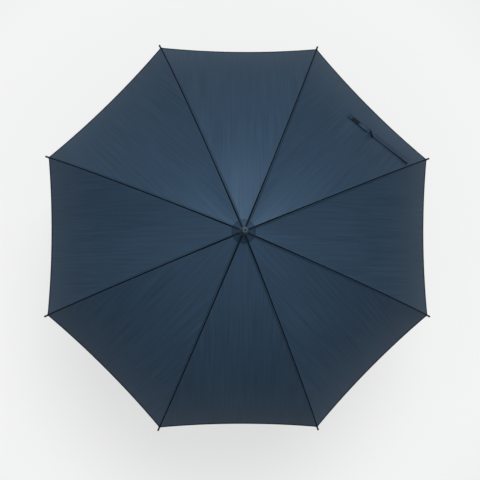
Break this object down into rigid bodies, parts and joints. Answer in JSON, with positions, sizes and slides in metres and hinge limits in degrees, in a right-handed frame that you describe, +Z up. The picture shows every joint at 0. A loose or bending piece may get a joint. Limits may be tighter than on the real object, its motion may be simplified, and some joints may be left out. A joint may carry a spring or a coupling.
{
  "type": "stick umbrella",
  "caption": "Open stick umbrella with a ribbed cloth canopy, a runner and stretchers that fold it along a tubular shaft, a crook handle and a ferrule.",
  "frame": {"origin": "middle of the handle's straight grip, on the shaft's axis", "axes": "+Z up the shaft to the ferrule, +X towards the crook's free end; the ribs stand at 22.5 degrees and every 45 degrees after it"},
  "size_m": [0.9476, 0.9476, 0.8336],
  "materials": {
    "steel_tube": "satin",
    "steel_wire": "satin",
    "spring_steel": "satin",
    "painted_rib": "satin",
    "fibreglass": "satin",
    "black_plastic": "matte",
    "ferrule_plastic": "satin",
    "grip_plastic": "satin",
    "collar_metal": "satin",
    "canopy_cloth": "matte",
    "rosette_cloth": "matte",
    "strap_cloth": "matte",
    "hook_pad": "matte"
  },
  "bodies": {
    "stick": {"shaft": "steel_tube", "stop_pin": "steel_wire", "catch_pins": "steel_wire", "crown": "black_plastic", "crown_wire": "steel_wire", "crown_pin": "steel_wire", "ferrule": "ferrule_plastic", "rosette_top": "rosette_cloth", "rosette_under": "rosette_cloth", "handle": "grip_plastic", "handle_collar": "collar_metal", "handle_end_cap": "collar_metal"},
    "top_catch": {"top_catch": "spring_steel"},
    "bottom_catch": {"bottom_catch": "spring_steel"},
    "runner": {"runner": "black_plastic", "runner_wire": "steel_wire"},
    "rib_1": {"rib_1": "painted_rib", "canopy_1": "canopy_cloth"},
    "rod_1": {"rod_1": "fibreglass", "tip_1": "black_plastic", "strap": "strap_cloth", "strap_pad": "hook_pad"},
    "stretcher_1": {"stretcher_1": "painted_rib"},
    "rib_2": {"rib_2": "painted_rib", "canopy_2": "canopy_cloth"},
    "rod_2": {"rod_2": "fibreglass", "tip_2": "black_plastic"},
    "stretcher_2": {"stretcher_2": "painted_rib"},
    "rib_3": {"rib_3": "painted_rib", "canopy_3": "canopy_cloth"},
    "rod_3": {"rod_3": "fibreglass", "tip_3": "black_plastic"},
    "stretcher_3": {"stretcher_3": "painted_rib"},
    "rib_4": {"rib_4": "painted_rib", "canopy_4": "canopy_cloth"},
    "rod_4": {"rod_4": "fibreglass", "tip_4": "black_plastic"},
    "stretcher_4": {"stretcher_4": "painted_rib"},
    "rib_5": {"rib_5": "painted_rib", "canopy_5": "canopy_cloth"},
    "rod_5": {"rod_5": "fibreglass", "tip_5": "black_plastic"},
    "stretcher_5": {"stretcher_5": "painted_rib"},
    "rib_6": {"rib_6": "painted_rib", "canopy_6": "canopy_cloth"},
    "rod_6": {"rod_6": "fibreglass", "tip_6": "black_plastic"},
    "stretcher_6": {"stretcher_6": "painted_rib"},
    "rib_7": {"rib_7": "painted_rib", "canopy_7": "canopy_cloth"},
    "rod_7": {"rod_7": "fibreglass", "tip_7": "black_plastic"},
    "stretcher_7": {"stretcher_7": "painted_rib"},
    "rib_8": {"rib_8": "painted_rib", "canopy_8": "canopy_cloth"},
    "rod_8": {"rod_8": "fibreglass", "tip_8": "black_plastic"},
    "stretcher_8": {"stretcher_8": "painted_rib"}
  },
  "joints": [
    {"name": "fold", "type": "hinge", "parent": "stick", "child": "rib_1", "pos_m": [0.01109, 0.00459, 0.66566], "axis": [-0.3827, 0.9239, 0], "range_deg": [0, 68.6], "deforming": ["canopy_1", "canopy_2", "canopy_3", "canopy_4", "canopy_5", "canopy_6", "canopy_7", "canopy_8", "strap", "strap_pad"]},
    {"name": "rib_2_fold", "type": "hinge", "parent": "stick", "child": "rib_2", "pos_m": [0.00459, 0.01109, 0.66566], "axis": [-0.9239, 0.3827, 0], "range_deg": [0, 68.6]},
    {"name": "rib_3_fold", "type": "hinge", "parent": "stick", "child": "rib_3", "pos_m": [-0.00459, 0.01109, 0.66566], "axis": [-0.9239, -0.3827, 0], "range_deg": [0, 68.6]},
    {"name": "rib_4_fold", "type": "hinge", "parent": "stick", "child": "rib_4", "pos_m": [-0.01109, 0.00459, 0.66566], "axis": [-0.3827, -0.9239, 0], "range_deg": [0, 68.6]},
    {"name": "rib_5_fold", "type": "hinge", "parent": "stick", "child": "rib_5", "pos_m": [-0.01109, -0.00459, 0.66566], "axis": [0.3827, -0.9239, 0], "range_deg": [0, 68.6]},
    {"name": "rib_6_fold", "type": "hinge", "parent": "stick", "child": "rib_6", "pos_m": [-0.00459, -0.01109, 0.66566], "axis": [0.9239, -0.3827, 0], "range_deg": [0, 68.6]},
    {"name": "rib_7_fold", "type": "hinge", "parent": "stick", "child": "rib_7", "pos_m": [0.00459, -0.01109, 0.66566], "axis": [0.9239, 0.3827, 0], "range_deg": [0, 68.6]},
    {"name": "rib_8_fold", "type": "hinge", "parent": "stick", "child": "rib_8", "pos_m": [0.01109, -0.00459, 0.66566], "axis": [0.3827, 0.9239, 0], "range_deg": [0, 68.6]},
    {"name": "rod_1_flex", "type": "hinge", "parent": "rib_1", "child": "rod_1", "pos_m": [0.25509, 0.10566, 0.57265], "axis": [-0.3827, 0.9239, 0], "range_deg": [-17.15, 0]},
    {"name": "rod_2_flex", "type": "hinge", "parent": "rib_2", "child": "rod_2", "pos_m": [0.10566, 0.25509, 0.57265], "axis": [-0.9239, 0.3827, 0], "range_deg": [-17.15, 0]},
    {"name": "rod_3_flex", "type": "hinge", "parent": "rib_3", "child": "rod_3", "pos_m": [-0.10566, 0.25509, 0.57265], "axis": [-0.9239, -0.3827, 0], "range_deg": [-17.15, 0]},
    {"name": "rod_4_flex", "type": "hinge", "parent": "rib_4", "child": "rod_4", "pos_m": [-0.25509, 0.10566, 0.57265], "axis": [-0.3827, -0.9239, 0], "range_deg": [-17.15, 0]},
    {"name": "rod_5_flex", "type": "hinge", "parent": "rib_5", "child": "rod_5", "pos_m": [-0.25509, -0.10566, 0.57265], "axis": [0.3827, -0.9239, 0], "range_deg": [-17.15, 0]},
    {"name": "rod_6_flex", "type": "hinge", "parent": "rib_6", "child": "rod_6", "pos_m": [-0.10566, -0.25509, 0.57265], "axis": [0.9239, -0.3827, 0], "range_deg": [-17.15, 0]},
    {"name": "rod_7_flex", "type": "hinge", "parent": "rib_7", "child": "rod_7", "pos_m": [0.10566, -0.25509, 0.57265], "axis": [0.9239, 0.3827, 0], "range_deg": [-17.15, 0]},
    {"name": "rod_8_flex", "type": "hinge", "parent": "rib_8", "child": "rod_8", "pos_m": [0.25509, -0.10566, 0.57265], "axis": [0.3827, 0.9239, 0], "range_deg": [-17.15, 0]},
    {"name": "stretcher_1_swing", "type": "hinge", "parent": "rib_1", "child": "stretcher_1", "pos_m": [0.25509, 0.10566, 0.57265], "axis": [-0.3827, 0.9239, 0], "range_deg": [-137.2, 0]},
    {"name": "stretcher_2_swing", "type": "hinge", "parent": "rib_2", "child": "stretcher_2", "pos_m": [0.10566, 0.25509, 0.57265], "axis": [-0.9239, 0.3827, 0], "range_deg": [-137.2, 0]},
    {"name": "stretcher_3_swing", "type": "hinge", "parent": "rib_3", "child": "stretcher_3", "pos_m": [-0.10566, 0.25509, 0.57265], "axis": [-0.9239, -0.3827, 0], "range_deg": [-137.2, 0]},
    {"name": "stretcher_4_swing", "type": "hinge", "parent": "rib_4", "child": "stretcher_4", "pos_m": [-0.25509, 0.10566, 0.57265], "axis": [-0.3827, -0.9239, 0], "range_deg": [-137.2, 0]},
    {"name": "stretcher_5_swing", "type": "hinge", "parent": "rib_5", "child": "stretcher_5", "pos_m": [-0.25509, -0.10566, 0.57265], "axis": [0.3827, -0.9239, 0], "range_deg": [-137.2, 0]},
    {"name": "stretcher_6_swing", "type": "hinge", "parent": "rib_6", "child": "stretcher_6", "pos_m": [-0.10566, -0.25509, 0.57265], "axis": [0.9239, -0.3827, 0], "range_deg": [-137.2, 0]},
    {"name": "stretcher_7_swing", "type": "hinge", "parent": "rib_7", "child": "stretcher_7", "pos_m": [0.10566, -0.25509, 0.57265], "axis": [0.9239, 0.3827, 0], "range_deg": [-137.2, 0]},
    {"name": "stretcher_8_swing", "type": "hinge", "parent": "rib_8", "child": "stretcher_8", "pos_m": [0.25509, -0.10566, 0.57265], "axis": [0.3827, 0.9239, 0], "range_deg": [-137.2, 0]},
    {"name": "runner_travel", "type": "hinge", "parent": "stretcher_1", "child": "runner", "pos_m": [0.01109, 0.00459, 0.47965], "axis": [-0.3827, 0.9239, 0], "range_deg": [0, 68.6]},
    {"name": "top_catch_press", "type": "hinge", "parent": "stick", "child": "top_catch", "pos_m": [-0.001, 0, 0.41865], "axis": [0, -1, 0], "range_deg": [0, 7], "stiffness_Nm_per_rad": 0.3},
    {"name": "bottom_catch_press", "type": "hinge", "parent": "stick", "child": "bottom_catch", "pos_m": [-0.001, 0, 0.0567], "axis": [0, -1, 0], "range_deg": [0, 7], "stiffness_Nm_per_rad": 0.3}
  ],
  "couplings": [
    {"joint": "rib_2_fold", "follows": "fold", "ratio": 1},
    {"joint": "rib_3_fold", "follows": "fold", "ratio": 1},
    {"joint": "rib_4_fold", "follows": "fold", "ratio": 1},
    {"joint": "rib_5_fold", "follows": "fold", "ratio": 1},
    {"joint": "rib_6_fold", "follows": "fold", "ratio": 1},
    {"joint": "rib_7_fold", "follows": "fold", "ratio": 1},
    {"joint": "rib_8_fold", "follows": "fold", "ratio": 1},
    {"joint": "rod_1_flex", "follows": "fold", "ratio": -0.25},
    {"joint": "rod_2_flex", "follows": "fold", "ratio": -0.25},
    {"joint": "rod_3_flex", "follows": "fold", "ratio": -0.25},
    {"joint": "rod_4_flex", "follows": "fold", "ratio": -0.25},
    {"joint": "rod_5_flex", "follows": "fold", "ratio": -0.25},
    {"joint": "rod_6_flex", "follows": "fold", "ratio": -0.25},
    {"joint": "rod_7_flex", "follows": "fold", "ratio": -0.25},
    {"joint": "rod_8_flex", "follows": "fold", "ratio": -0.25},
    {"joint": "stretcher_1_swing", "follows": "fold", "ratio": -2},
    {"joint": "stretcher_2_swing", "follows": "fold", "ratio": -2},
    {"joint": "stretcher_3_swing", "follows": "fold", "ratio": -2},
    {"joint": "stretcher_4_swing", "follows": "fold", "ratio": -2},
    {"joint": "stretcher_5_swing", "follows": "fold", "ratio": -2},
    {"joint": "stretcher_6_swing", "follows": "fold", "ratio": -2},
    {"joint": "stretcher_7_swing", "follows": "fold", "ratio": -2},
    {"joint": "stretcher_8_swing", "follows": "fold", "ratio": -2},
    {"joint": "runner_travel", "follows": "fold", "ratio": 1}
  ]
}
